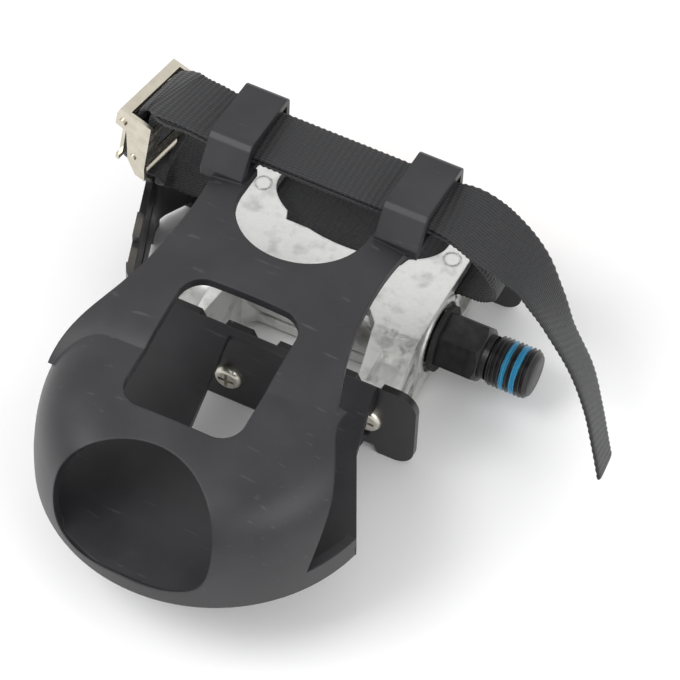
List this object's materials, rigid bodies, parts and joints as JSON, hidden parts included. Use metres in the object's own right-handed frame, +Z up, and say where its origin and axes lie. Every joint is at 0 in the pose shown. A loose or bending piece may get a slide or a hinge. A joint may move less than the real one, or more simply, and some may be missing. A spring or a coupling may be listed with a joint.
{
  "type": "toe clip pedal",
  "caption": "Cage bicycle pedal with a moulded toe clip bolted to its front, a webbing strap with a lever buckle, ball bearings and a threaded spindle.",
  "frame": {"origin": "on the spindle's axis, at the start of its thread", "axes": "+X along the spindle, out of its threaded end; +Z up off the tread; the toe clip reaches to -Y"},
  "size_m": [0.1613, 0.1576, 0.0733],
  "materials": {
    "steel_bright": "machined steel",
    "black_oxide": "blackened steel, blue locking rings on the thread",
    "black_rubber": "moulded rubber",
    "cast_aluminium": "die cast, left bright",
    "black_plastic": "moulded nylon, matt with scuffs",
    "black_steel": "black painted steel band",
    "zinc_screw": "zinc plated",
    "nickel": "nickel plated",
    "amber_lens": "moulded prismatic reflector",
    "webbing": "woven nylon webbing"
  },
  "bodies": {
    "pedal": {"pedal_body": "cast_aluminium", "cage": "black_steel", "dust_cap": "black_plastic", "inboard_cup": "steel_bright", "outboard_cup": "steel_bright", "inboard_balls": "steel_bright", "outboard_balls": "steel_bright", "toe_clip": "black_plastic", "clip_bolts": "zinc_screw", "clip_washers": "zinc_screw", "clip_nuts": "zinc_screw", "cage_screws": "zinc_screw", "reflector_housing": "black_plastic", "reflector_lens": "amber_lens", "strap": "webbing", "buckle_frame": "nickel", "buckle_bar": "nickel", "lever_pin": "nickel"},
    "spindle": {"spindle": "black_oxide", "spindle_seal": "black_rubber", "outboard_cone": "steel_bright", "lock_washer": "steel_bright", "lock_nut": "steel_bright"},
    "lever": {"buckle_lever": "nickel", "lever_tip": "black_plastic"}
  },
  "joints": [
    {"name": "spindle_spin", "type": "hinge", "parent": "pedal", "child": "spindle", "pos_m": [0, 0, 0], "axis": [1, 0, 0], "continuous": true},
    {"name": "buckle_lever", "type": "hinge", "parent": "pedal", "child": "lever", "pos_m": [-0.10966, 0.00732, 0.0409], "axis": [0.1736, 0.9848, 0], "range_deg": [0, 75]}
  ]
}
